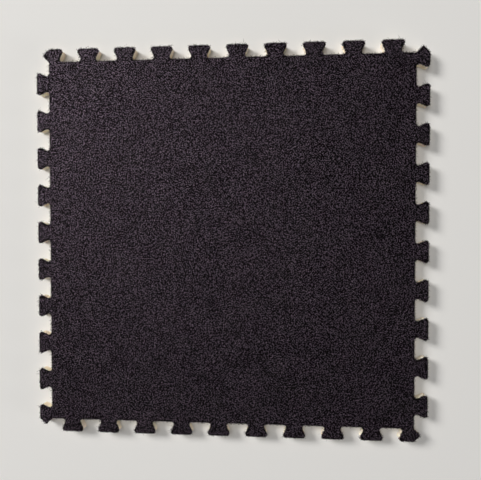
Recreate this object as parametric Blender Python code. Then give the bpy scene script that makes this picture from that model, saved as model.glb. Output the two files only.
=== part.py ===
"""Interlocking floor tile: a square of closed-cell foam with a short-pile carpet top and puzzle teeth all round.

The tile lies flat, in metres, +Z up, with its underside at Z = 0 and its middle on the Z axis.
The four sides are the same edge turned by a quarter each time, so the tile has no mirror symmetry:
each side carries nine whole teeth and, at one end, the tooth that fills a quarter of the corner
where four tiles meet. The foam and the carpet were cut in one stroke, so they share one outline.
"""

import math

import bmesh
import bpy
from mathutils import Matrix, Vector

MODULE = 0.610  # floor length that one tile covers: tiles repeat at this distance
SIDES = 4
TEETH_PER_SIDE = 10
FIRST_TOOTH = 0.25  # tooth pitches from a side's start to the middle of its first tooth
TOOTH_DEPTH = 0.0208
FLANK_ANGLE = math.radians(25.0)  # lean of a tooth's flank, which makes it wider at its tip
ROUND_RADIUS = 0.0043  # tooth tips and socket corners
APEX_RADIUS = 0.0010  # corner tooth, at the point where four tiles meet
CUT_CLEARANCE = 0.0002  # what the blade takes from each tile along the shared cut line
ARC_STEP = math.radians(30.0)  # largest turn between two points of a round stretch
SHARP_ANGLE = math.radians(40.0)  # a wall's facets shade as one curve below this

FOAM_THICKNESS = 0.0132
BOND_GAP = 0.0003  # the glue line, which keeps the two solids apart
CARPET_THICKNESS = 0.0025

CREAM, FOAM_ROUGHNESS = (0.72, 0.64, 0.50), 0.75
CHARCOAL, CARPET_ROUGHNESS = (0.028, 0.024, 0.029), 0.95

TOOTH_PITCH = MODULE / TEETH_PER_SIDE
SIDE_TURN = -2 * math.pi / SIDES  # from one side to the next, clockwise seen from above


def clear_scene():
    """Removes every object of the scene."""
    for obj in list(bpy.data.objects):
        bpy.data.objects.remove(obj, do_unlink=True)


def make_material(name, color, roughness):
    """A plain non-metal surface."""
    material = bpy.data.materials.new(name)
    material.use_nodes = True
    shader = material.node_tree.nodes["Principled BSDF"]
    shader.inputs["Base Color"].default_value = (*color, 1.0)
    shader.inputs["Roughness"].default_value = roughness
    shader.inputs["Metallic"].default_value = 0.0
    return material


def side_corners():
    """(point, radius) of each sharp corner of the +Y side's cut line, from its -X end to its +X end."""
    half = MODULE / 2
    rise = TOOTH_DEPTH / 2
    lean = rise * math.tan(FLANK_ANGLE)
    tip, root = TOOTH_PITCH / 4 + lean, TOOTH_PITCH / 4 - lean
    corners = [((-half, half), APEX_RADIUS), ((-half + rise, half + rise), ROUND_RADIUS)]
    for index in range(TEETH_PER_SIDE):
        middle = (index + FIRST_TOOTH) * TOOTH_PITCH - half
        if index > 0:
            corners.append(((middle - root, half - rise), ROUND_RADIUS))
            corners.append(((middle - tip, half + rise), ROUND_RADIUS))
        corners.append(((middle + tip, half + rise), ROUND_RADIUS))
        corners.append(((middle + root, half - rise), ROUND_RADIUS))
    corners.append(((half - rise, half - rise), ROUND_RADIUS))
    return corners


def cut_line():
    """(point, radius) of each sharp corner of the whole cut line, clockwise seen from above."""
    corners = []
    for side in range(SIDES):
        cosine, sine = math.cos(side * SIDE_TURN), math.sin(side * SIDE_TURN)
        for (x, y), radius in side_corners():
            corners.append((Vector((x * cosine - y * sine, x * sine + y * cosine)), radius))
    return corners


def rounded_corner(before, corner, after, radius):
    """Points of one corner of a clockwise outline, moved in by the clearance and rounded."""
    into, away = (corner - before).normalized(), (after - corner).normalized()
    turn = into.angle_signed(away)  # positive is clockwise, which is a corner that stands out
    inward = Vector((into.y, -into.x)) + Vector((away.y, -away.x))
    corner = corner + inward * (CUT_CLEARANCE / (1 + into.dot(away)))
    radius -= math.copysign(CUT_CLEARANCE, turn)
    setback = radius * math.tan(abs(turn) / 2)
    start = corner - into * setback
    centre = start + Vector((into.y, -into.x)) * math.copysign(radius, turn)
    steps = math.ceil(abs(turn) / ARC_STEP)
    turns = (Matrix.Rotation(-turn * step / steps, 2) for step in range(steps + 1))
    return [centre + turned @ (start - centre) for turned in turns]


def outline():
    """The tile's outline as (x, y) points, counterclockwise seen from above."""
    corners = cut_line()
    points = []
    for index, (corner, radius) in enumerate(corners):
        before = corners[index - 1][0]
        after = corners[(index + 1) % len(corners)][0]
        points.extend(rounded_corner(before, corner, after, radius))
    return points[::-1]


def extruded(name, points, floor, thickness, material):
    """A solid plate with this outline, from the floor height up."""
    plate = bmesh.new()
    rim = [plate.verts.new((x, y, floor)) for x, y in points]
    lower_face = plate.faces.new(rim)
    grown = bmesh.ops.extrude_face_region(plate, geom=[lower_face])["geom"]
    upper_rim = [part for part in grown if isinstance(part, bmesh.types.BMVert)]
    bmesh.ops.translate(plate, vec=(0.0, 0.0, thickness), verts=upper_rim)
    bmesh.ops.recalc_face_normals(plate, faces=plate.faces)
    mesh = bpy.data.meshes.new(name)
    plate.to_mesh(mesh)
    plate.free()
    mesh.shade_smooth()
    mesh.set_sharp_from_angle(angle=SHARP_ANGLE)
    mesh.materials.append(material)
    obj = bpy.data.objects.new(name, mesh)
    bpy.context.scene.collection.objects.link(obj)
    return obj


def foam_base(points):
    """The springy foam layer that lies on the floor."""
    cream = make_material("cream_foam", CREAM, FOAM_ROUGHNESS)
    return extruded("foam_base", points, 0.0, FOAM_THICKNESS, cream)


def carpet_top(points):
    """The needle-felt carpet bonded to the foam."""
    charcoal = make_material("charcoal_carpet", CHARCOAL, CARPET_ROUGHNESS)
    floor = FOAM_THICKNESS + BOND_GAP
    return extruded("carpet_top", points, floor, CARPET_THICKNESS, charcoal)


def main():
    clear_scene()
    points = outline()
    foam_base(points)
    carpet_top(points)


main()
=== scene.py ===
"""Looks of the interlocking floor tile: a die-cut foam sheet under a needle-felt carpet.

Everything is in metres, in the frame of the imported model: +Z up, the underside at Z = 0 and the
tile's middle on the Z axis.
"""
import logging
import math
from dataclasses import dataclass
from enum import Enum
from functools import cache

import bpy
import numpy as np
from mathutils import Matrix, Vector
from mathutils.geometry import delaunay_2d_cdt


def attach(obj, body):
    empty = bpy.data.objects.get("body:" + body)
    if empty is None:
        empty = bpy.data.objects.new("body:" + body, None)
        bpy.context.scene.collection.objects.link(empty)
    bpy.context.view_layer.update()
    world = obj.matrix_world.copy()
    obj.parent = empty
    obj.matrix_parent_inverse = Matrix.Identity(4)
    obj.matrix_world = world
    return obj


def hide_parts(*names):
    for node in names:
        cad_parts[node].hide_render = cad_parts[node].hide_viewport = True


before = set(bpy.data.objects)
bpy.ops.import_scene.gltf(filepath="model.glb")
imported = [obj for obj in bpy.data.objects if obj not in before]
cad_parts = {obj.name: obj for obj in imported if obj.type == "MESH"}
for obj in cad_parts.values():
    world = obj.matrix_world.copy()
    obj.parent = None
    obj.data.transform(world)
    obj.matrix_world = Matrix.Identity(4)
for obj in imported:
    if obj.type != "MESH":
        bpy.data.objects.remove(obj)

LOG = logging.getLogger("floor_tile")
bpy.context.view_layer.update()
THIRD_TURN = 2.0 * math.pi / 3.0
GOLDEN_TURN = math.pi * (3.0 - math.sqrt(5.0))
SINES = 7  # added up in one noise
PERIOD_SPREAD = 0.8  # largest natural logarithm of a sine's period over the middle one
AT_ONCE = 2000  # points tested together, which bounds the memory used
PATCH_MARGIN = 0.1  # of a fibre's square on the map
MOST_SWELL = 2.0  # where a product of two waves is cut off
ROUND_MIDDLE = 0.3  # inset of a quarter round's middle, as a share of its radius
NOISE_MIDDLE = 0.5  # of the noise node's values
INSIDE_ONLY = 1  # the triangulation's option to keep what lies within the border
SAME_POINT = 1e-9  # distance below which the triangulation takes two points for one

Array = np.ndarray
Rng = np.random.Generator
Span = tuple[float, float]
Triple = tuple[float, float, float]
Colour = tuple[float, float, float, float]
Profile = tuple[Span, ...]
Piece = bpy.types.Object
Socket = bpy.types.NodeSocket
Outputs = bpy.types.bpy_prop_collection
Value = float | tuple[float, ...] | Socket

# The shared effects: waves to the metre, how much each counts, and the values of a noise or a cell's
# distance between which each goes from none to full.
CLOUDS, FLECKS, HUES, SPECKS, HAZES = 9.0, 900.0, 42.0, 520.0, 26.0
CLOUD_SHARE, FLECK_SHARE, HAZE_SHARE = 0.10, 0.70, 0.35
HUE_SPAN, SPECK_SPAN, HAZE_SPAN = (0.38, 0.62), (0.66, 0.80), (0.42, 0.75)
CELL_SPAN, PORE_SPAN = (0.05, 0.62), (0.30, 0.10)
CURL_SPAN, KNOT_SPAN = (0.06, 0.0), (0.40, 0.62)
GREENER, REDDER = (0.89, 1.05, 0.93, 1.0), (1.07, 0.92, 1.05, 1.0)
LARGE_CELLS, KNOTS = 0.37, 0.60
LAYER_SHIFTS = ((0.0, 0.0, 0.0), (0.52, 0.13, 0.0), (0.37, 0.84, 0.0))
LOWEST_LAYER, LAYER_RISE, LAYER_COARSER = 0.5, 0.25, 0.15


class Side(Enum):
    """The two sides of the tile that are worn most, by the direction (x, y) that they face."""

    FAR = (0.0, 1.0)
    LEFT = (-1.0, 0.0)


class Surface(Enum):
    """The surfaces of a layer, by their material slot: its cut edge, and its faces above and below."""

    CUT = 0
    FACE = 1


class Yarn(Enum):
    """The two yarns that are mixed in the carpet, by their material slot: a dull one and a shiny one."""

    BLACK = 0
    GREY = 1


def clockwise(directions: Array) -> Array:
    """Turns 2-D directions a quarter clockwise: (x, y) becomes (y, -x)."""
    return np.stack([directions[..., 1], -directions[..., 0]], axis=-1)


def unit(vectors: Array) -> Array:
    """Scales vectors along the last axis to length 1."""
    return vectors / np.maximum(np.linalg.norm(vectors, axis=-1, keepdims=True), 1e-12)


def waves(along: Array, period: float, rng: Rng) -> Array:
    """Smooth noise of mean 0 and spread near 1: a sum of sines with random phases and near periods.

    Args:
        along: Distance at each sample, in metres.
        period: The middle of the sines' wavelengths, in metres.
        rng: Source of the phases.

    Returns:
        One value for each sample.
    """
    lengths = period * np.exp(rng.uniform(-PERIOD_SPREAD, PERIOD_SPREAD, SINES))
    phases = rng.uniform(0.0, 2.0 * np.pi, SINES)
    angles = 2.0 * np.pi * along[..., None] / lengths + phases
    return np.sin(angles).sum(axis=-1) * math.sqrt(2.0 / SINES)


def inside(points: Array, line: Array) -> Array:
    """Tells which points lie inside a closed line: a ray to +X crosses it an odd number of times.

    Args:
        points: (n, 2) points to test.
        line: (m, 2) corners of the closed line.

    Returns:
        (n,) truth values.
    """
    start, end = line, np.roll(line, -1, axis=0)
    rise = end[:, 1] - start[:, 1]
    slope = (end[:, 0] - start[:, 0]) / np.where(rise == 0.0, 1.0, rise)
    found = np.zeros(len(points), bool)
    for first in range(0, len(points), AT_ONCE):
        x, y = np.split(points[first:first + AT_ONCE], 2, axis=1)
        spans = (start[:, 1] > y) != (end[:, 1] > y)
        crossings = spans & (x < start[:, 0] + (y - start[:, 1]) * slope)
        found[first:first + AT_ONCE] = crossings.sum(axis=1) % 2 == 1
    return found


@dataclass(frozen=True)
class MeshData:
    """The arrays of one mesh: points, and each face's number of corners, their points and its slot.

    tones is a shade for each point, and patch is each face corner's place on the piece's own map.
    """

    points: Array
    sizes: Array
    corners: Array
    slots: Array
    tones: Array | None = None
    patch: Array | None = None

    def piece(self, name: str, materials: list[bpy.types.Material]) -> Piece:
        """Makes the object, smooth and at the origin, and lets it ride on the tile.

        Args:
            name: The piece's name.
            materials: Its material slots, in order.

        Returns:
            The new object.
        """
        mesh = bpy.data.meshes.new(name)
        mesh.vertices.add(len(self.points))
        mesh.vertices.foreach_set("co", np.asarray(self.points, np.float32).ravel())
        mesh.loops.add(len(self.corners))
        mesh.loops.foreach_set("vertex_index", np.asarray(self.corners, np.int32))
        mesh.polygons.add(len(self.sizes))
        starts = np.concatenate([[0], np.cumsum(self.sizes)[:-1]])
        mesh.polygons.foreach_set("loop_start", np.asarray(starts, np.int32))
        mesh.polygons.foreach_set("loop_total", np.asarray(self.sizes, np.int32))
        mesh.polygons.foreach_set("material_index", np.asarray(self.slots, np.int32))
        mesh.polygons.foreach_set("use_smooth", np.ones(len(self.sizes), bool))
        mesh.update(calc_edges=True)
        if self.tones is not None:
            tone = mesh.attributes.new("tone", "FLOAT", "POINT")
            tone.data.foreach_set("value", np.asarray(self.tones, np.float32))
        if self.patch is not None:
            patches = mesh.uv_layers.new(name="OFBake")
            patches.data.foreach_set("uv", np.asarray(self.patch, np.float32).ravel())
        for material in materials:
            mesh.materials.append(material)
        made = bpy.data.objects.new(name, mesh)
        bpy.context.scene.collection.objects.link(made)
        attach(made, "root")
        LOG.info("%s: %d triangles", name, int((self.sizes - 2).sum()))
        return made


@dataclass(frozen=True)
class CutLine:
    """The path of the die round the tile, in the same sizes as the solids.

    A side starts at the point where four tiles meet, with the tooth that fills a quarter of that
    corner. Nine whole teeth follow, and the side is turned by a quarter for each of the next three.
    The module is the length of floor that one tile covers, first_tooth is in tooth pitches from the
    side's start, and the clearance is what the blade takes from each tile along the line.
    """

    module: float = 0.610
    teeth: int = 10
    first_tooth: float = 0.25
    depth: float = 0.0208
    flank: float = math.radians(25.0)
    round_radius: float = 0.0043
    apex_radius: float = 0.0010
    clearance: float = 0.0002
    arc_steps: int = 9
    spacing: float = 0.0016

    def corners(self) -> tuple[Array, Array]:
        """Lays out the sharp corners of the line, clockwise.

        A tooth is a trapezium whose flanks lean out by the tangent of the flank angle times the
        distance from mid-depth.

        Returns:
            (n, 2) corners and (n,) rounding radii.
        """
        half, rise = self.module / 2, self.depth / 2
        pitch, lean = self.module / self.teeth, rise * math.tan(self.flank)
        root, tip = pitch / 4 - lean, pitch / 4 + lean
        middles = (np.arange(self.teeth) + self.first_tooth) * pitch - half
        across = middles[:, None] + np.array([-root, -tip, tip, root])
        outward = np.broadcast_to(np.array([-rise, rise, rise, -rise]) + half, across.shape)
        teeth = np.stack([across, outward], axis=-1).reshape(-1, 2)
        start = [[-half, half], [-half + rise, half + rise]]
        side = np.concatenate([start, teeth[2:], [[half - rise, half - rise]]])
        radii = np.full(len(side), self.round_radius)
        radii[0] = self.apex_radius
        sides = [side, clockwise(side), -side, -clockwise(side)]
        return np.concatenate(sides), np.tile(radii, len(sides))

    def rounded(self) -> Array:
        """Moves every corner in by the clearance and puts an arc that touches both edges in its place.

        Returns:
            (n, 2) points, counterclockwise.
        """
        corners, radii = self.corners()
        into = unit(corners - np.roll(corners, 1, axis=0))
        away = np.roll(into, -1, axis=0)
        along = (into * away).sum(axis=1)
        turn = np.arctan2((clockwise(into) * away).sum(axis=1), along)
        inward = clockwise(into) + clockwise(away)
        moved = corners + inward * (self.clearance / (1.0 + along))[:, None]
        radii = radii - np.sign(turn) * self.clearance
        start = moved - into * (radii * np.tan(np.abs(turn) / 2))[:, None]
        centre = start + clockwise(into) * (np.sign(turn) * radii)[:, None]
        angle = turn[:, None, None] * np.linspace(0.0, 1.0, self.arc_steps)[:, None]
        spoke = (start - centre)[:, None, :]
        arcs = centre[:, None, :] + spoke * np.cos(angle) + clockwise(spoke) * np.sin(angle)
        return arcs.reshape(-1, 2)[::-1]

    def rim(self) -> tuple[Array, Array, Array]:
        """Walks round the rounded line at an even spacing.

        Returns:
            (n, 2) points counterclockwise, their (n, 2) outward normals, and (n,) distances along.
        """
        line = self.rounded()
        closed = np.concatenate([line, line[:1]])
        length = np.concatenate([[0.0], np.cumsum(np.linalg.norm(np.diff(closed, axis=0), axis=1))])
        along = np.linspace(0.0, length[-1], int(length[-1] / self.spacing), endpoint=False)
        points = np.stack([np.interp(along, length, closed[:, axis]) for axis in (0, 1)], axis=-1)
        tangent = unit(np.roll(points, -1, axis=0) - np.roll(points, 1, axis=0))
        return points, clockwise(tangent), along

    def area(self) -> float:
        """The area inside the line, in square metres, by the shoelace sum."""
        x, y = self.rounded().T
        return float(abs((x * np.roll(y, -1) - y * np.roll(x, -1)).sum()) / 2)


@dataclass(frozen=True)
class Ripple:
    """Unevenness of a cut: how long its waves are and how far they reach in, in metres."""

    length: float
    depth: float

    def inset(self, along: Array, rng: Rng) -> Array:
        """How far the cut lies in at each distance along it: the size of a sum of sines."""
        return np.abs(waves(along, self.length, rng)) * self.depth


@dataclass(frozen=True)
class Layer:
    """A flat layer with the tile's outline: a wall carried round the rim, and a face above and below.

    The profile is the wall's (inset, height) points from the bottom up, the ripples are the wall's
    unevenness, grid is the distance between the faces' points, and crown is the spread of the upper
    face's height.
    """

    line: CutLine
    profile: Profile
    ripples: tuple[Ripple, ...]
    grid: float
    crown: float = 0.0
    border_gap: float = 0.6
    wave_length: float = 0.09

    def wall(self, shares: Array, rng: Rng) -> Array:
        """Carries the profile round the rim.

        A profile point (inset, height) lies at the rim point, moved in by the inset and by its share
        of the ripples there.

        Args:
            shares: (k,) share of the ripples that each profile point takes.
            rng: Source of the ripples.

        Returns:
            (n, k, 3) points.
        """
        rim, normals, along = self.line.rim()
        ripple = sum(ripple.inset(along, rng) for ripple in self.ripples)
        insets, heights = np.array(self.profile).T
        inward = insets + ripple[:, None] * shares
        flat = rim[:, None, :] - normals[:, None, :] * inward[..., None]
        upright = np.broadcast_to(heights, flat.shape[:2])
        return np.concatenate([flat, upright[..., None]], axis=-1)

    def wall_faces(self, around: int) -> Array:
        """Joins neighbouring rim points and profile points by quads that face out.

        Args:
            around: Number of rim points.

        Returns:
            (f, 4) indices of the wall's points.
        """
        index = np.arange(around * len(self.profile)).reshape(around, -1)
        after = np.roll(index, -1, axis=0)
        quads = np.stack([index[:, :-1], after[:, :-1], after[:, 1:], index[:, 1:]], axis=-1)
        return quads.reshape(-1, 4)

    def face(self, edge: Array) -> tuple[Array, Array]:
        """Fills a closed edge with triangles over a lattice of even-sided triangles.

        Args:
            edge: (n, 2) points of the edge, counterclockwise.

        Returns:
            (m, 2) points added inside, and (t, 3) counterclockwise triangles that count the edge first.
        """
        _, normals, _ = self.line.rim()
        reach = np.abs(edge).max()
        rows = np.arange(-reach, reach, self.grid * math.sqrt(0.75))
        steps = np.arange(-reach, reach, self.grid)
        x = steps + (np.arange(len(rows)) % 2)[:, None] * self.grid / 2
        lattice = np.stack([x, np.broadcast_to(rows[:, None], x.shape)], axis=-1).reshape(-1, 2)
        added = lattice[inside(lattice, edge - normals * self.grid * self.border_gap)]
        points = np.concatenate([edge, added])
        order = np.arange(len(edge))
        border = np.stack([order, np.roll(order, -1)], axis=-1).tolist()
        corners = [Vector(point) for point in points.tolist()]
        found = delaunay_2d_cdt(corners, border, [], INSIDE_ONLY, SAME_POINT)
        source = np.array([sources[0] for sources in found[3]])
        triangles = source[np.array(found[2])]
        first, second = (points[triangles[:, side]] - points[triangles[:, 0]] for side in (1, 2))
        backward = (clockwise(first) * second).sum(axis=1) > 0
        triangles[backward] = triangles[backward][:, ::-1]
        return added, triangles

    def mesh(self, shares: Array, rng: Rng) -> MeshData:
        """Builds the closed layer.

        The upper face rises and falls by a product of slow waves along X and Y.

        Args:
            shares: (k,) share of the ripples that each profile point takes.
            rng: Source of the ripples and waves.

        Returns:
            The layer's mesh arrays.
        """
        wall = self.wall(shares, rng)
        around, up = wall.shape[:2]
        added, triangles = self.face(wall[:, -1, :2])
        across, along = (waves(added[:, axis], self.wave_length, rng) for axis in (0, 1))
        swell = np.clip(across * along, -MOST_SWELL, MOST_SWELL) * self.crown
        lower = np.column_stack([added, np.full(len(added), wall[0, 0, 2])])
        upper = np.column_stack([added, wall[0, -1, 2] + swell])
        points = np.concatenate([wall.reshape(-1, 3), lower, upper])
        rim_points, inner_points = np.arange(around) * up, around * up + np.arange(len(added))
        lower_index = np.concatenate([rim_points, inner_points])
        upper_index = np.concatenate([rim_points + up - 1, inner_points + len(added)])
        quads = self.wall_faces(around)
        caps = np.concatenate([lower_index[triangles][:, ::-1], upper_index[triangles]])
        sizes = np.concatenate([np.full(len(quads), 4), np.full(len(caps), 3)])
        slots = np.where(sizes == 4, Surface.CUT.value, Surface.FACE.value)
        return MeshData(points, sizes, np.concatenate([quads.ravel(), caps.ravel()]), slots)


@dataclass(frozen=True)
class Strands:
    """Many short fibres in one mesh: a three-sided tube along each path, with a point at each end.

    paths is (n, stations, 3), and each fibre has a radius, a tone from 0 to 1 and a yarn.
    """

    paths: Array
    radii: Array
    tones: Array
    yarns: Array

    def part(self, chosen: slice) -> "Strands":
        """Takes some of the fibres."""
        return Strands(self.paths[chosen], self.radii[chosen], self.tones[chosen], self.yarns[chosen])

    def points(self) -> Array:
        """Puts three points round each inner station of each path, a third of a turn apart.

        Their plane is square to the path there, and each fibre is rolled by a further golden angle.

        Returns:
            (n, 3k - 4, 3) points: the stations in order, then the two ends.
        """
        ahead = unit(self.paths[:, 2:] - self.paths[:, :-2])
        across = unit(np.cross(ahead, (0.0, 0.0, 1.0)))[:, :, None, :]
        above = np.cross(across, ahead[:, :, None, :])
        roll = np.arange(len(self.paths))[:, None] * GOLDEN_TURN + np.arange(3) * THIRD_TURN
        roll = roll[:, None, :, None]
        spokes = (across * np.cos(roll) + above * np.sin(roll)) * self.radii[:, None, None, None]
        stations = self.paths[:, 1:-1, None, :] + spokes
        return np.concatenate([stations.reshape(len(stations), -1, 3), self.paths[:, [0, -1]]], axis=1)

    def one_strand(self) -> tuple[Array, Array, Array]:
        """Lists the faces of one fibre by their corners' (along, around) on the tube.

        There are three at each of its two points, and three quads between two stations.

        Returns:
            Sizes of the faces, points of their corners, and the corners' places on a unit square.
        """
        rings = self.paths.shape[1] - 2
        side = np.arange(3)[:, None, None] * [0, 1]
        along = np.arange(1, rings)[:, None, None, None] * [1, 0]
        first = side + [[0, 0.5], [1, 0], [1, 1]]
        quads = side + [[0, 0], [1, 0], [1, 1], [0, 1]] + along
        last = side + [[rings, 0], [rings + 1, 0.5], [rings, 1]]
        places = np.concatenate([part.reshape(-1, 2) for part in (first, quads, last)])
        ring, around = places.T
        at_points = [ring == 0, ring > rings]
        corners = np.select(at_points, [3 * rings, 3 * rings + 1], 3 * (ring - 1) + around % 3)
        sizes = np.repeat([3, 4, 3], [3, 3 * (rings - 1), 3])
        return sizes, corners.astype(int), places / [rings + 1, 3]

    def mesh(self) -> MeshData:
        """Repeats the faces of one fibre for all, and gives each fibre a square of the map.

        Returns:
            The fibres' mesh arrays.
        """
        points = self.points()
        count, each = points.shape[:2]
        sizes, corners, place = self.one_strand()
        across = math.ceil(math.sqrt(count))
        cell = np.stack([np.arange(count) % across, np.arange(count) // across], axis=-1)
        patch = (cell[:, None, :] + PATCH_MARGIN + (1.0 - 2.0 * PATCH_MARGIN) * place) / across
        corners = (np.arange(count)[:, None] * each + corners).ravel()
        slots, tones = np.repeat(self.yarns, len(sizes)), np.repeat(self.tones, each)
        return MeshData(points.reshape(-1, 3), np.tile(sizes, count), corners, slots, tones,
                        patch.reshape(-1, 2))


@dataclass(frozen=True)
class Board:
    """Places and joins the nodes of one material or one shared effect."""

    tree: bpy.types.NodeTree

    def feed(self, node: bpy.types.Node, inputs: dict[str | int, Value]) -> None:
        """Gives inputs of a node what they take.

        Args:
            node: The node.
            inputs: A value, or the output of another node, by the input's name or number.
        """
        for name, value in inputs.items():
            if isinstance(value, Socket):
                self.tree.links.new(value, node.inputs[name])
            else:
                node.inputs[name].default_value = value

    def node(self, kind: str, inputs: dict[str | int, Value], **options: object) -> Outputs:
        """Adds a node.

        Args:
            kind: Its type.
            inputs: What its inputs take.
            options: Its other settings.

        Returns:
            The node's outputs.
        """
        made = self.tree.nodes.new(kind)
        for option, value in options.items():
            setattr(made, option, value)
        self.feed(made, inputs)
        return made.outputs

    def place(self) -> Socket:
        """The point's position on the piece, in metres."""
        return self.node("ShaderNodeTexCoord", {})["Object"]

    def scaled(self, vector: Value, scale: Triple) -> Socket:
        """Stretches a position by a factor along each axis."""
        return self.node("ShaderNodeMapping", {"Vector": vector, "Scale": scale})[0]

    def noise(self, vector: Value, scale: Value, detail: float, distortion: float = 0.0) -> Socket:
        """Noise between 0 and 1, with so many waves to the metre."""
        inputs = {"Vector": vector, "Scale": scale, "Detail": detail, "Distortion": distortion}
        return self.node("ShaderNodeTexNoise", inputs)["Fac"]

    def step(self, value: Value, low: float, high: float) -> Socket:
        """Rises smoothly from 0 where the value is low to 1 where it is high."""
        inputs = {"Value": value, "From Min": low, "From Max": high}
        return self.node("ShaderNodeMapRange", inputs, interpolation_type="SMOOTHSTEP")[0]

    def between(self, mask: Value, low: float, high: float) -> Socket:
        """Goes evenly from the low value to the high one as a mask goes from 0 to 1."""
        return self.node("ShaderNodeMapRange", {"Value": mask, "To Min": low, "To Max": high})[0]

    def held(self, value: Value) -> Socket:
        """Keeps a value between 0 and 1."""
        return self.node("ShaderNodeClamp", {"Value": value})[0]

    def math(self, operation: str, first: Value, second: Value) -> Socket:
        """Joins two values by a Math node's operation."""
        return self.node("ShaderNodeMath", {0: first, 1: second}, operation=operation)[0]

    def add(self, first: Value, second: Value) -> Socket:
        """Adds two values."""
        return self.math("ADD", first, second)

    def less(self, first: Value, second: Value) -> Socket:
        """Takes the second value from the first."""
        return self.math("SUBTRACT", first, second)

    def times(self, first: Value, second: Value) -> Socket:
        """Multiplies two values."""
        return self.math("MULTIPLY", first, second)

    def mix(self, mask: Value, first: Value, second: Value, blend: str = "MIX") -> Socket:
        """Goes from the first colour to the second by a mask."""
        inputs = {0: mask, 6: first, 7: second}
        return self.node("ShaderNodeMix", inputs, data_type="RGBA", blend_type=blend)[2]

    def bump(self, height: Value, depth: float) -> Socket:
        """The normal of a surface that a height from 0 to 1 raises by a depth in metres."""
        return self.node("ShaderNodeBump", {"Height": height, "Distance": depth})[0]


def start_material(name: str) -> tuple[bpy.types.Material, Board, bpy.types.Node]:
    """Makes a material with a Principled shader.

    Args:
        name: The material's name.

    Returns:
        The material, its board and its shader node.
    """
    made = bpy.data.materials.new(name)
    made.use_nodes = True
    return made, Board(made.node_tree), made.node_tree.nodes["Principled BSDF"]


@dataclass(frozen=True)
class Effect:
    """An effect that several materials share, as a node group that is built once."""

    tree: bpy.types.NodeTree

    @classmethod
    def start(cls, name: str, **inputs: str) -> tuple["Effect", Board, Outputs]:
        """Starts the group with its inputs.

        Args:
            name: The group's name.
            inputs: Socket kind (Float, Color or Vector) by input name.

        Returns:
            The effect, the board for its nodes, and what it takes.
        """
        tree = bpy.data.node_groups.new(name, "ShaderNodeTree")
        for socket, kind in inputs.items():
            tree.interface.new_socket(socket, in_out="INPUT", socket_type=f"NodeSocket{kind}")
        board = Board(tree)
        return cls(tree), board, board.node("NodeGroupInput", {})

    def giving(self, kind: str, **outputs: Value) -> "Effect":
        """Ends the group with its outputs.

        Args:
            kind: The socket kind of them all.
            outputs: What each gives, by output name.

        Returns:
            The effect.
        """
        for socket in outputs:
            self.tree.interface.new_socket(socket, in_out="OUTPUT", socket_type=f"NodeSocket{kind}")
        Board(self.tree).node("NodeGroupOutput", outputs)
        return self

    def use(self, board: Board, **inputs: Value) -> Outputs:
        """Places the effect in a material, and gives the group node's outputs."""
        return board.node("ShaderNodeGroup", inputs, node_tree=self.tree)


@cache
def fibre_shade() -> Effect:
    """The colour of dyed fibres: dark to light by tone, with dye clouds, flecks and two slight hues.

    Returns:
        An effect that takes Position, Tone, Dark and Light and gives Colour.
    """
    kinds = {"Position": "Vector", "Tone": "Float", "Dark": "Color", "Light": "Color"}
    effect, board, taken = Effect.start("fibre_shade", **kinds)
    cloud = board.less(board.noise(taken["Position"], CLOUDS, detail=3.0), NOISE_MIDDLE)
    fleck = board.less(board.noise(taken["Position"], FLECKS, detail=1.0), NOISE_MIDDLE)
    shift = board.add(board.times(cloud, CLOUD_SHARE), board.times(fleck, FLECK_SHARE))
    colour = board.mix(board.held(board.add(taken["Tone"], shift)), taken["Dark"], taken["Light"])
    hue = board.step(board.noise(taken["Position"], HUES, detail=2.0), *HUE_SPAN)
    return effect.giving("Color", Colour=board.mix(1.0, colour, board.mix(hue, GREENER, REDDER), "MULTIPLY"))


@cache
def foam_cells() -> Effect:
    """The burst bubbles of closed-cell foam, from the distance to the nearest of scattered middles.

    Returns:
        An effect that takes Position and Fineness, in cells to the metre, and gives Height and Pore.
    """
    effect, board, taken = Effect.start("foam_cells", Position="Vector", Fineness="Float")
    inputs = {"Vector": taken["Position"], "Scale": taken["Fineness"]}
    small = board.node("ShaderNodeTexVoronoi", inputs, feature="F1")["Distance"]
    inputs["Scale"] = board.times(taken["Fineness"], LARGE_CELLS)
    large = board.node("ShaderNodeTexVoronoi", inputs, feature="SMOOTH_F1")["Distance"]
    pore = board.step(large, *PORE_SPAN)
    height = board.less(board.step(small, *CELL_SPAN), pore)
    return effect.giving("Float", Height=height, Pore=pore)


@cache
def settled_dust() -> Effect:
    """Pale specks and a thin haze that lie unevenly on a surface.

    Returns:
        An effect that takes Position and Amount and gives Mask.
    """
    effect, board, taken = Effect.start("settled_dust", Position="Vector", Amount="Float")
    speck = board.step(board.noise(taken["Position"], SPECKS, detail=2.0), *SPECK_SPAN)
    haze = board.step(board.noise(taken["Position"], HAZES, detail=4.0), *HAZE_SPAN)
    cover = board.add(speck, board.times(haze, HAZE_SHARE))
    return effect.giving("Float", Mask=board.times(cover, taken["Amount"]))


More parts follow.
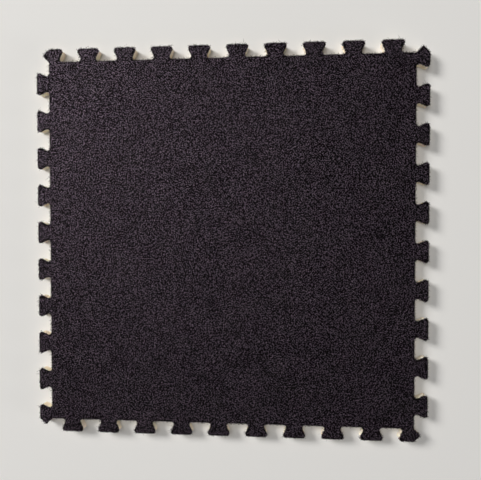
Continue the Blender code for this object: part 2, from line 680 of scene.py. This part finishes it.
@cache
def matted_fibres() -> Effect:
    """Curled fibres that lie over each other in three layers, in small knots.

    A layer's fibres are the thin lines where a noise passes through its middle value. A slower noise
    raises some places into knots. The pattern is the same at every height.

    Returns:
        An effect that takes Position and Fineness, in curls to the metre, and gives Height and Knot.
    """
    effect, board, taken = Effect.start("matted_fibres", Position="Vector", Fineness="Float")
    flat = board.scaled(taken["Position"], (1.0, 1.0, 0.0))
    height: Value = 0.0
    for layer, shift in enumerate(LAYER_SHIFTS):
        moved = board.node("ShaderNodeVectorMath", {0: flat, 1: shift})[0]
        coarser = board.times(taken["Fineness"], 1.0 - LAYER_COARSER * layer)
        swirl = board.less(board.noise(moved, coarser, detail=1.0, distortion=0.6), NOISE_MIDDLE)
        line = board.step(board.math("ABSOLUTE", swirl, 0.0), *CURL_SPAN)
        raised = board.times(line, LOWEST_LAYER + LAYER_RISE * layer)
        height = board.math("MAXIMUM", height, raised)
    slower = board.noise(flat, board.times(taken["Fineness"], KNOTS), detail=2.0)
    return effect.giving("Float", Height=height, Knot=board.step(slower, *KNOT_SPAN))


@cache
def nap_normal() -> Effect:
    """The normal of brushed fibres, which lean to the surface that they lie on.

    It is the fibre's own normal, moved by a share of the way to the carpet's upward direction.

    Returns:
        An effect that takes Own, the fibre's normal, and Lean, and gives Normal.
    """
    effect, board, taken = Effect.start("nap_normal", Own="Vector", Lean="Float")
    up = board.node("ShaderNodeVectorTransform", {"Vector": (0.0, 0.0, 1.0)}, vector_type="NORMAL",
                    convert_from="OBJECT", convert_to="WORLD")[0]
    leant = {0: taken["Lean"], 4: taken["Own"], 5: up}
    leant = board.node("ShaderNodeMix", leant, data_type="VECTOR")[1]
    normal = board.node("ShaderNodeVectorMath", {0: leant}, operation="NORMALIZE")[0]
    return effect.giving("Vector", Normal=normal)


@dataclass(frozen=True)
class CutFoam:
    """Closed-cell foam where the die went through it: burst cells, with faint upright drag marks.

    shading is how far the colour goes to the shaded one: painted shade in a pore and in a cell's
    hollow, and a darker mark along a drag mark. hollow_shade_share and drag_share are how much of
    that a cell's hollow and a drag mark bring. drag_height is the marks' height against the cells'.
    """

    colour: Colour = (0.92, 0.825, 0.680, 1.0)
    # shaded is the painted shade colour of the pores and the cells' hollows, and also the drag marks' darker
    # colour
    shaded: Colour = (0.80, 0.685, 0.525, 1.0)
    dusty: Colour = (0.42, 0.38, 0.33, 1.0)
    dust: float = 0.25
    fineness: float = 1700.0
    drag_marks: Triple = (900.0, 900.0, 40.0)
    drag_span: Span = (0.35, 0.75)
    shading: float = 0.7
    hollow_shade_share: float = 0.30
    drag_share: float = 0.35
    drag_height: float = 0.6
    depth: float = 0.00012

    def material(self) -> bpy.types.Material:
        """Makes the material.

        Returns:
            The material.
        """
        made, board, shader = start_material("cut_foam")
        place = board.place()
        cells = foam_cells().use(board, Position=place, Fineness=self.fineness)
        drag = board.noise(board.scaled(place, self.drag_marks), 1.0, detail=2.0)
        # painted shade: darker in a cell's hollow and in a pore, plus the real darker drag marks
        hollow = board.times(board.less(1.0, cells["Height"]), self.hollow_shade_share)
        marks = board.times(board.step(drag, *self.drag_span), self.drag_share)
        cover = board.add(board.add(hollow, cells["Pore"]), marks)
        shade = board.held(board.times(cover, self.shading))
        dust = settled_dust().use(board, Position=place, Amount=self.dust)["Mask"]
        height = board.add(cells["Height"], board.times(drag, self.drag_height))
        board.feed(shader, {
            "Base Color": board.mix(dust, board.mix(shade, self.colour, self.shaded), self.dusty),
            "Normal": board.bump(height, self.depth),
            "Roughness": 0.78,
            "Specular IOR Level": 0.35,
            "Subsurface Weight": 0.5,
            "Subsurface Radius": (1.0, 0.75, 0.45),
            "Subsurface Scale": 0.004,
        })
        return made


@dataclass(frozen=True)
class FoamSkin:
    """The foam's moulded skin: a fine pebble grain, with scuffs where it has rubbed on a floor."""

    colour: Colour = (0.75, 0.67, 0.54, 1.0)
    scuffed: Colour = (0.57, 0.515, 0.43, 1.0)
    scuff_share: float = 0.55
    scuff_marks: Triple = (14.0, 55.0, 14.0)
    scuff_span: Span = (0.52, 0.72)
    dusty: Colour = (0.34, 0.31, 0.27, 1.0)
    dust: float = 0.45
    fineness: float = 620.0
    depth: float = 0.00018
    smooth: float = 0.52
    worn: float = 0.82

    def material(self) -> bpy.types.Material:
        """Makes the material.

        Returns:
            The material.
        """
        made, board, shader = start_material("foam_skin")
        place = board.place()
        cells = foam_cells().use(board, Position=place, Fineness=self.fineness)
        marks = board.noise(board.scaled(place, self.scuff_marks), 1.0, detail=5.0, distortion=0.6)
        scuff = board.step(marks, *self.scuff_span)
        dust = settled_dust().use(board, Position=place, Amount=self.dust)["Mask"]
        colour = board.mix(board.times(scuff, self.scuff_share), self.colour, self.scuffed)
        board.feed(shader, {
            "Base Color": board.mix(dust, colour, self.dusty),
            "Normal": board.bump(cells["Height"], self.depth),
            "Roughness": board.between(scuff, self.smooth, self.worn),
        })
        return made


@dataclass(frozen=True)
class NeedleFelt:
    """The felted ground of the carpet, under its loose fibres: matted curls of dyed fibre in knots.

    gap_shade_tone is the tone of a knot between its curls, darkened there as painted shade, and the
    lower curls are painted darker than the higher ones as painted shade too. knot_height is the
    knots' share of the bump.
    """

    dark: Colour = (0.0015, 0.0009, 0.0014, 1.0)
    light: Colour = (0.010, 0.0057, 0.0095, 1.0)
    dusty: Colour = (0.16, 0.14, 0.13, 1.0)
    dust: float = 0.06
    fineness: float = 700.0
    gap_shade_tone: float = 0.25
    knot_height: float = 0.65
    depth: float = 0.0009
    lean: float = 0.3
    dull: float = 0.90
    polished: float = 0.50

    def material(self) -> bpy.types.Material:
        """Makes the material.

        Returns:
            The material.
        """
        made, board, shader = start_material("needle_felt")
        place = board.place()
        matted = matted_fibres().use(board, Position=place, Fineness=self.fineness)
        lines, knot = matted["Height"], matted["Knot"]
        # painted shade: darker between the curls and on the lower curls; outside the knots the dye is darker
        tone = board.times(knot, board.add(board.times(lines, 1.0 - self.gap_shade_tone), self.gap_shade_tone))
        fibre = fibre_shade().use(board, Position=place, Tone=tone, Dark=self.dark, Light=self.light)
        dust = settled_dust().use(board, Position=place, Amount=self.dust)["Mask"]
        curls, knots = board.times(lines, 1.0 - self.knot_height), board.times(knot, self.knot_height)
        own = board.bump(board.add(curls, knots), self.depth)
        nap = nap_normal().use(board, Own=own, Lean=self.lean)
        board.feed(shader, {
            "Base Color": board.mix(dust, fibre["Colour"], self.dusty),
            "Normal": nap["Normal"],
            "Roughness": board.between(knot, self.dull, self.polished),
            "Specular IOR Level": 0.06,
        })
        return made


@dataclass(frozen=True)
class CutFelt:
    """The carpet's cut edge: brown-black fibre ends pressed into thin flat layers."""

    dark: Colour = (0.0075, 0.0050, 0.0045, 1.0)
    light: Colour = (0.085, 0.062, 0.050, 1.0)
    layers: Triple = (700.0, 700.0, 2600.0)
    layer_span: Span = (0.45, 0.75)
    fibre_ends: float = 2300.0
    end_span: Span = (0.52, 0.70)
    depth: float = 0.00025

    def material(self) -> bpy.types.Material:
        """Makes the material.

        Returns:
            The material.
        """
        made, board, shader = start_material("cut_felt")
        place = board.place()
        layers = board.noise(board.scaled(place, self.layers), 1.0, detail=2.0, distortion=0.4)
        ends = board.noise(place, self.fibre_ends, detail=1.0)
        tone = board.times(board.step(layers, *self.layer_span), board.step(ends, *self.end_span))
        fibre = fibre_shade().use(board, Position=place, Tone=tone, Dark=self.dark, Light=self.light)
        board.feed(shader, {
            "Base Color": fibre["Colour"],
            "Normal": board.bump(board.add(layers, ends), self.depth),
            "Roughness": 0.9,
            "Specular IOR Level": 0.2,
        })
        return made


@dataclass(frozen=True)
class DyedFibre:
    """Loose carpet fibres: crimped yarn whose shade follows each fibre's own tone.

    dull and polished are the roughness of dark and of light fibres. knots is how much darker the
    fibres are outside the felt's knots, and shaded how much painted shade darkens them at the root
    height against the top height, low in the pile where it is out of the light. lean is how far their
    normals lean to the carpet's, crimp the depth of their bump, and tint the colour of their shine.
    """

    name: str
    dark: Colour
    light: Colour
    dull: float
    polished: float
    shine: float
    knots: float = 0.6
    shaded: float = 1.0
    root_height: float = 0.0151
    top_height: float = 0.0157
    lean: float = 0.55
    crimps: float = 620.0
    crimp: float = 0.00008
    bend_of_light: float = 1.5
    tint: Colour = (1.0, 0.78, 1.0, 1.0)

    def material(self) -> bpy.types.Material:
        """Makes the material.

        Returns:
            The material.
        """
        made, board, shader = start_material(self.name)
        place = board.place()
        tone = board.node("ShaderNodeAttribute", {}, attribute_name="tone")["Fac"]
        knot = matted_fibres().use(board, Position=place, Fineness=NeedleFelt.fineness)["Knot"]
        height = board.node("ShaderNodeSeparateXYZ", {0: place})["Z"]
        # painted shade: fibres are darker at the root height, low in the pile, than at the top height
        raised = board.step(height, self.root_height, self.top_height)
        for mask, share in ((knot, self.knots), (raised, self.shaded)):
            tone = board.times(tone, board.between(mask, 1.0 - share, 1.0))
        fibre = fibre_shade().use(board, Position=place, Tone=tone, Dark=self.dark, Light=self.light)
        own = board.node("ShaderNodeNewGeometry", {})["Normal"]
        nap = nap_normal().use(board, Own=own, Lean=self.lean)["Normal"]
        crimps = board.noise(place, self.crimps, detail=1.0)
        crimp = {"Height": crimps, "Distance": self.crimp, "Normal": nap}
        board.feed(shader, {
            "Base Color": fibre["Colour"],
            "Normal": board.node("ShaderNodeBump", crimp)[0],
            "Roughness": board.between(tone, self.dull, self.polished),
            "Specular IOR Level": self.shine,
            "Specular Tint": self.tint,
            "IOR": self.bend_of_light,
        })
        return made


BLACK_YARN = DyedFibre(
    "black_yarn", dark=(0.0015, 0.0008, 0.0015, 1.0), light=(0.0080, 0.0042, 0.0076, 1.0),
    dull=0.80, polished=0.60, shine=0.04)
GREY_YARN = DyedFibre(
    "grey_yarn", dark=(0.0050, 0.0024, 0.0048, 1.0), light=(0.050, 0.029, 0.048, 1.0),
    dull=0.54, polished=0.26, shine=1.0, lean=0.74, bend_of_light=2.00)
EDGE_YARN = DyedFibre(
    "edge_yarn", dark=(0.0080, 0.0056, 0.0048, 1.0), light=(0.070, 0.052, 0.045, 1.0),
    dull=0.80, polished=0.70, shine=0.10, knots=0.0, shaded=0.0)


@dataclass(frozen=True)
class FoamSheet:
    """The springy foam layer, die-cut through: its wall draws in by the waist between its faces.

    least_share is the share of the ripples that the wall's foot and top take.
    """

    line: CutLine
    thickness: float = 0.0132
    edge_round: float = 0.0006
    waist: float = 0.00035
    ripples: tuple[Ripple, ...] = (Ripple(0.03, 0.00010), Ripple(0.005, 0.00003))
    least_share: float = 0.4
    grid: float = 0.012
    wall_points: int = 7
    seed: int = 11

    def profile(self) -> Profile:
        """Draws the wall: a rounded foot, then a hollow of half a sine to the top edge.

        Returns:
            (inset, height) points from the bottom up.
        """
        up = np.linspace(0.0, 1.0, self.wall_points)
        hollow = self.waist * np.sin(np.pi * up)
        height = self.edge_round + (self.thickness - self.edge_round) * up
        foot = ((self.edge_round, 0.0), (ROUND_MIDDLE * self.edge_round, ROUND_MIDDLE * self.edge_round))
        return (*foot, *zip(hollow.tolist(), height.tolist()))

    def build(self) -> Piece:
        """Makes the sheet in the place of its solid.

        Its wall is uneven by slow waves of the cut and short ones of the blade's chatter.

        Returns:
            The piece.
        """
        layer = Layer(self.line, self.profile(), self.ripples, self.grid)
        shares = self.least_share + np.sin(np.linspace(0.0, np.pi, len(layer.profile)))
        mesh = layer.mesh(shares, np.random.default_rng(self.seed))
        piece = mesh.piece("foam_sheet", [CutFoam().material(), FoamSkin().material()])
        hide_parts("foam_base")
        return piece


@dataclass(frozen=True)
class CarpetPile:
    """The loose fibres that lie on the felt, each a flat curl whose ends are needled into it.

    A bend is the angle that a fibre turns through, swerve is the spread of its S as a share of its
    length, and shrinks are the shares to which one that reaches too far is cut, one after another.
    Within the worn width of the rim fewer fibres are grey, and all are darker.
    """

    line: CutLine
    spacing: float = 0.00220
    shortest: float = 0.0020
    longest: float = 0.0045
    thinnest: float = 0.00022
    thickest: float = 0.00040
    tuck_height: float = 0.01470
    top_height: float = 0.01598
    least_bend: float = 0.2
    most_bend: float = 2.4
    swerve: float = 0.07
    least_peak: float = 0.00035
    grey_share: float = 0.70
    tone_power: float = 1.3
    bundles: int = 6
    worn_width: float = 0.0022
    worn_share: float = 0.30
    worn_tone: float = 0.7
    stations: int = 4
    overhang: float = 0.0017
    raggedness: float = 0.0013
    most_ragged: float = 3.0
    tuft_length: float = 0.0045
    shrinks: tuple[float, ...] = (1.0, 0.6, 0.5)
    seed: int = 23

    def roots(self, rng: Rng) -> tuple[Array, Array]:
        """Scatters fibre middles: a square lattice, each point moved at random within its cell.

        Light and dark fibres take turns along the rows and columns, as the squares of a chessboard
        do, so that neither gathers in patches.

        Args:
            rng: Source of the moves and tones.

        Returns:
            (n, 2) points over the whole tile, and each one's tone from 0 to 1.
        """
        reach = self.line.module / 2 + self.line.depth / 2
        steps = np.arange(-reach, reach, self.spacing)
        lattice = np.stack(np.meshgrid(steps, steps), axis=-1).reshape(-1, 2)
        middles = lattice + rng.uniform(0.0, self.spacing, lattice.shape)
        light = np.indices((len(steps), len(steps))).sum(axis=0).ravel() % 2
        return middles, (light + rng.uniform(0.0, 1.0, len(middles))) / 2

    def curls(self, middles: Array, length: Array, rng: Rng) -> Array:
        """Draws each fibre: from above a circle's arc with an S added, from the side half a cosine.

        Args:
            middles: (n, 2) middles of the fibres.
            length: (n,) their lengths.
            rng: Source of directions, bends and heights.

        Returns:
            (n, stations, 3) paths.
        """
        count = len(middles)
        share = np.linspace(-0.5, 0.5, self.stations)
        heading = rng.uniform(0.0, 2 * np.pi, (count, 1))
        bend = rng.uniform(self.least_bend, self.most_bend, (count, 1)) * rng.choice([-1.0, 1.0], (count, 1))
        radius = length[:, None] / bend
        angle = bend * share
        forward, sideways = radius * np.sin(angle), radius * (1.0 - np.cos(angle))
        sideways = sideways - sideways.mean(axis=1, keepdims=True)
        swerve = length[:, None] * rng.normal(0.0, self.swerve, (count, 1))
        sideways = sideways + swerve * np.sin(2 * np.pi * share)
        x = middles[:, :1] + forward * np.cos(heading) - sideways * np.sin(heading)
        y = middles[:, 1:] + forward * np.sin(heading) + sideways * np.cos(heading)
        highest = self.top_height - self.tuck_height - self.thickest
        peak = rng.uniform(self.least_peak, highest, (count, 1))
        z = self.tuck_height + peak * np.cos(np.pi * share)
        return np.stack([x, y, z], axis=-1)

    def trimmed(self, rng: Rng) -> tuple[Array, Array]:
        """Lays the fibres, and lays those that reach past the border again, shorter each time.

        The border runs outside the cut by the overhang, and in and out by slow waves. It never comes
        into the core, a square, so only the points outside that are tested.

        Args:
            rng: Source of the fibres.

        Returns:
            (n, stations, 3) paths and their (n,) tones, in a random order.
        """
        rim, normals, along = self.line.rim()
        reach = self.overhang + self.raggedness * waves(along, self.tuft_length, rng)
        border = rim + normals * reach[:, None]
        core = self.line.module / 2 - self.line.depth / 2 - self.most_ragged * self.raggedness
        middles, tones = self.roots(rng)
        length = rng.uniform(self.shortest, self.longest, len(middles))
        kept = []
        for shrink in self.shrinks:
            length = length * shrink
            paths = self.curls(middles, length, rng)
            flat = paths[..., :2].reshape(-1, 2)
            held = (np.abs(flat) < core).all(axis=1)
            held[~held] = inside(flat[~held], border)
            whole = held.reshape(len(paths), -1).all(axis=1)
            kept.append((paths[whole], tones[whole]))
            middles, length, tones = middles[~whole], length[~whole], tones[~whole]
        paths, tones = (np.concatenate(parts) for parts in zip(*kept))
        order = rng.permutation(len(paths))
        return paths[order], tones[order]

    def strands(self) -> Strands:
        """Lays every fibre and gives the lighter ones the grey yarn.

        Returns:
            All the fibres.
        """
        rng = np.random.default_rng(self.seed)
        paths, tones = self.trimmed(rng)
        rim, normals, _ = self.line.rim()
        unworn = inside(paths.mean(axis=1)[:, :2], rim - normals * self.worn_width)
        grey = tones > 1.0 - np.where(unworn, self.grey_share, self.worn_share)
        tones = tones ** self.tone_power * np.where(unworn, 1.0, self.worn_tone)
        radii = rng.uniform(self.thinnest, self.thickest, len(paths))
        return Strands(paths, radii, tones, np.where(grey, Yarn.GREY.value, Yarn.BLACK.value))

    def build(self) -> list[Piece]:
        """Makes the fibres in bundles that are spread evenly over the tile.

        Returns:
            The pieces.
        """
        strands = self.strands()
        yarns = [BLACK_YARN.material(), GREY_YARN.material()]
        pieces = []
        for bundle in range(self.bundles):
            part = strands.part(slice(bundle, None, self.bundles))
            pieces.append(part.mesh().piece(f"pile_bundle_{bundle + 1}", yarns))
        return pieces


@dataclass(frozen=True)
class Hairs:
    """One kind of hair: how many there are, how far they reach out, their half width, and their bow.

    The sway is the spread of the sideways bow, as a share of the longest reach.
    """

    count: int
    shortest: float
    longest: float
    thinnest: float
    thickest: float
    sway: float


@dataclass(frozen=True)
class CutFringe:
    """Fibre ends that the die left standing out of the carpet's cut edge, with a few long stray hairs.

    Hairs start between the lowest and the highest height and stay between the floor and the ceiling.
    Their lengths are more by the worn share on the left and the far side, and less on the others.
    splay is the spread of their headings, reach_shape the beta distribution of their reach, drops the
    range of their fall, and stations the points along a hair as shares of its reach. Where they stand
    in tufts, tuft_length is the distance between tufts, and tuft_level and tuft_swing are the mean
    and the spread of a tuft's reach.
    """

    line: CutLine
    ends: Hairs = Hairs(13000, 0.0007, 0.0034, 0.00010, 0.00023, 1.1)
    strays: Hairs = Hairs(520, 0.002, 0.0065, 0.00008, 0.00014, 0.6)
    lowest: float = 0.0136
    highest: float = 0.0151
    floor: float = 0.0006
    ceiling: float = 0.0158
    splay: float = 1.1
    reach_shape: Span = (1.3, 3.0)
    drops: Span = (-0.15, 0.5)
    stations: tuple[float, ...] = (-0.35, 0.15, 0.6, 1.0)
    tuft_length: float = 0.0045
    tuft_level: float = 0.7
    tuft_swing: float = 0.65
    tuft_limits: Span = (0.15, 2.0)
    worn: float = 0.3
    stray_share: float = 0.40
    left_share: float = 0.35
    tone: float = 0.10
    tone_spread: float = 0.12
    seed: int = 37

    def hairs(self, kind: Hairs, rng: Rng) -> tuple[Array, Array, Array]:
        """Draws hairs that leave the edge outwards and bow to one side and down.

        Along a hair the sideways and downward moves grow with the square of the way out. Its length
        rises and falls along the rim, so that the hairs stand in tufts.

        Args:
            kind: The kind of hair.
            rng: Source of the hairs.

        Returns:
            (count, 4, 3) paths, (count,) half widths, and (count, 2) outward directions.
        """
        rim, normals, along = self.line.rim()
        column = (kind.count, 1)
        where = rng.integers(0, len(rim), kind.count)
        outward = normals[where]
        heading = unit(outward + clockwise(outward) * rng.normal(0.0, self.splay, column))
        facing = outward @ np.array(Side.LEFT.value) + outward @ np.array(Side.FAR.value)
        tuft = self.tuft_level + self.tuft_swing * waves(along[where], self.tuft_length, rng)
        tuft = ((1.0 + self.worn * facing) * np.clip(tuft, *self.tuft_limits))[:, None]
        reach = (kind.longest - kind.shortest) * rng.beta(*self.reach_shape, column)
        out = np.array(self.stations) * (kind.shortest + reach * tuft)
        squared = kind.longest * np.clip(out / kind.longest, 0.0, 1.0) ** 2
        bow = rng.normal(0.0, kind.sway, column) * squared
        drop = rng.uniform(*self.drops, column) * squared
        flat = rim[where][:, None, :] + heading[:, None, :] * out[..., None]
        flat = flat + clockwise(heading)[:, None, :] * bow[..., None]
        height = rng.uniform(self.lowest, self.highest, column) - drop
        height = np.clip(height, self.floor, self.ceiling)
        paths = np.concatenate([flat, height[..., None]], axis=-1)
        return paths, rng.uniform(kind.thinnest, kind.thickest, kind.count), outward

    def build(self) -> Piece:
        """Makes the fringe: short ends all round, and the stray share of the strays.

        The share is more by the left share on the left side, and as much less on the right.

        Returns:
            The piece.
        """
        rng = np.random.default_rng(self.seed)
        ends, ends_thick, _ = self.hairs(self.ends, rng)
        strays, strays_thick, outward = self.hairs(self.strays, rng)
        leftness = outward @ np.array(Side.LEFT.value)
        chosen = rng.uniform(size=len(strays)) < self.stray_share + self.left_share * leftness
        paths = np.concatenate([ends, strays[chosen]])
        radii = np.concatenate([ends_thick, strays_thick[chosen]])
        tones = np.clip(rng.normal(self.tone, self.tone_spread, len(paths)), 0.0, 1.0)
        strands = Strands(paths, radii, tones, np.full(len(paths), Yarn.BLACK.value))
        piece = strands.mesh().piece("cut_fringe", [EDGE_YARN.material()])
        return piece


@dataclass(frozen=True)
class CarpetFelt:
    """The carpet's felted ground, bonded to the foam and cut with it, with its fibres on it."""

    line: CutLine
    floor: float = 0.01322
    top: float = 0.0150
    edge_round: float = 0.0008
    ripples: tuple[Ripple, ...] = (Ripple(0.004, 0.00006), Ripple(0.02, 0.00006))
    swell: float = 0.00008
    grid: float = 0.008
    round_points: int = 4
    seed: int = 17

    def profile(self) -> Profile:
        """Draws the edge: upright, then a quarter circle over to the top.

        Returns:
            (inset, height) points from the bottom up.
        """
        turn = np.linspace(0.0, np.pi / 2, self.round_points)
        inset = self.edge_round * (1.0 - np.cos(turn))
        height = self.top - self.edge_round * (1.0 - np.sin(turn))
        return ((0.0, self.floor), *zip(inset.tolist(), height.tolist()))

    def build(self, foam: Piece) -> list[Piece]:
        """Makes the felt in the place of the carpet's solid, with the pile and the fringe on it.

        Args:
            foam: The foam sheet that it is bonded to; not used.

        Returns:
            The pieces.
        """
        layer = Layer(self.line, self.profile(), self.ripples, self.grid, self.swell)
        mesh = layer.mesh(np.ones(len(layer.profile)), np.random.default_rng(self.seed))
        felt = mesh.piece("carpet_felt", [CutFelt().material(), NeedleFelt().material()])
        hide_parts("carpet_top")
        fibres = [*CarpetPile(self.line).build(), CutFringe(self.line).build()]
        self.line.area()
        return [felt, *fibres]


@dataclass(frozen=True)
class Lamp:
    """A round soft lamp that faces the tile."""

    name: str
    place: Triple
    width: float
    power: float
    colour: Triple = (1.0, 0.984, 0.960)

    def hang(self) -> None:
        """Hangs the lamp in its place, turned to the tile."""
        lamp = bpy.data.lights.new(self.name, "AREA")
        lamp.shape = "DISK"
        lamp.size, lamp.energy, lamp.color = self.width, self.power, self.colour
        hung = bpy.data.objects.new(self.name, lamp)
        hung.location = self.place
        hung.rotation_euler = (-Vector(self.place)).to_track_quat("-Z", "Y").to_euler()
        bpy.context.scene.collection.objects.link(hung)


@dataclass(frozen=True)
class Studio:
    """A pale floor, three round lamps, a faint even light, and the photograph's camera.

    The main lamp stands low on the left, a weaker one hangs overhead, and a faint one fills in from
    the right.
    """

    floor_colour: Colour = (0.81, 0.802, 0.785, 1.0)
    floor_shaded: Colour = (0.70, 0.69, 0.67, 1.0)
    floor_reach: float = 20.0
    floor_height: float = -0.0001
    floor_rows: int = 9
    floor_clouds: float = 1.3
    floor_shade: float = 0.06
    lamps: tuple[Lamp, ...] = (
        Lamp("low_lamp", (-8.00, 4.60, 5.60), 4.0, 1100.0),
        Lamp("high_lamp", (-1.30, 1.20, 6.40), 3.4, 120.0),
        Lamp("fill_lamp", (9.00, -3.20, 1.60), 3.0, 230.0),
    )
    surround: Colour = (0.93, 0.96, 1.0, 1.0)
    surround_strength: float = 0.10
    focal_length: float = 33.75
    camera_place: Triple = (0.0716, 0.0183, 0.7368)
    look: Triple = (-0.0707, -0.0210, -1.0)
    up: Triple = (0.0005, 1.0, 0.0)

    def floor(self) -> Piece:
        """Makes the floor as a large square grid just under the tile.

        Returns:
            The floor.
        """
        steps = np.linspace(-self.floor_reach, self.floor_reach, self.floor_rows)
        across, along = np.meshgrid(steps, steps)
        level = np.full(across.shape, self.floor_height)
        points = np.stack([across, along, level], axis=-1).reshape(-1, 3)
        index = np.arange(len(points)).reshape(across.shape)
        quads = np.stack([index[:-1, :-1], index[:-1, 1:], index[1:, 1:], index[1:, :-1]], axis=-1)
        mesh = bpy.data.meshes.new("studio_floor")
        mesh.from_pydata(points.tolist(), [], quads.reshape(-1, 4).tolist())
        made, board, shader = start_material("studio_floor")
        shade = board.times(board.noise(board.place(), self.floor_clouds, detail=2.0), self.floor_shade)
        board.feed(shader, {
            "Base Color": board.mix(shade, self.floor_colour, self.floor_shaded),
            "Roughness": 0.8,
            "Specular IOR Level": 0.1,
        })
        mesh.materials.append(made)
        ground = bpy.data.objects.new("studio_floor", mesh)
        bpy.context.scene.collection.objects.link(ground)
        return ground

    def lights(self) -> None:
        """Hangs the lamps and sets the surroundings' even light."""
        for lamp in self.lamps:
            lamp.hang()
        world = bpy.data.worlds.new("studio_surround")
        world.use_nodes = True
        background = world.node_tree.nodes["Background"]
        background.inputs["Color"].default_value = self.surround
        background.inputs["Strength"].default_value = self.surround_strength
        bpy.context.scene.world = world

    def camera(self) -> None:
        """Puts the camera above the tile, where the photograph was taken from."""
        lens = bpy.data.cameras.new("studio_camera")
        lens.lens, lens.clip_start, lens.clip_end = self.focal_length, 0.01, 50.0
        camera = bpy.data.objects.new("studio_camera", lens)
        back = -Vector(self.look).normalized()
        right = Vector(self.up).cross(back).normalized()
        turn = Matrix((right, back.cross(right), back)).transposed()
        camera.matrix_world = Matrix.Translation(self.camera_place) @ turn.to_4x4()
        bpy.context.scene.collection.objects.link(camera)
        bpy.context.scene.camera = camera

    def build(self) -> None:
        """Sets up the whole studio, with colours shown as they are."""
        self.floor()
        self.lights()
        self.camera()
        bpy.context.scene.view_settings.view_transform = "Standard"


def main() -> None:
    """Builds the studio and the tile, and reports each piece."""
    logging.basicConfig(level=logging.INFO, format="%(name)s: %(message)s")
    Studio().build()
    line = CutLine()
    foam = FoamSheet(line).build()
    carpet = CarpetFelt(line).build(foam)
    LOG.info("the tile has %d pieces", 1 + len(carpet))


if __name__ == "__main__":
    main()
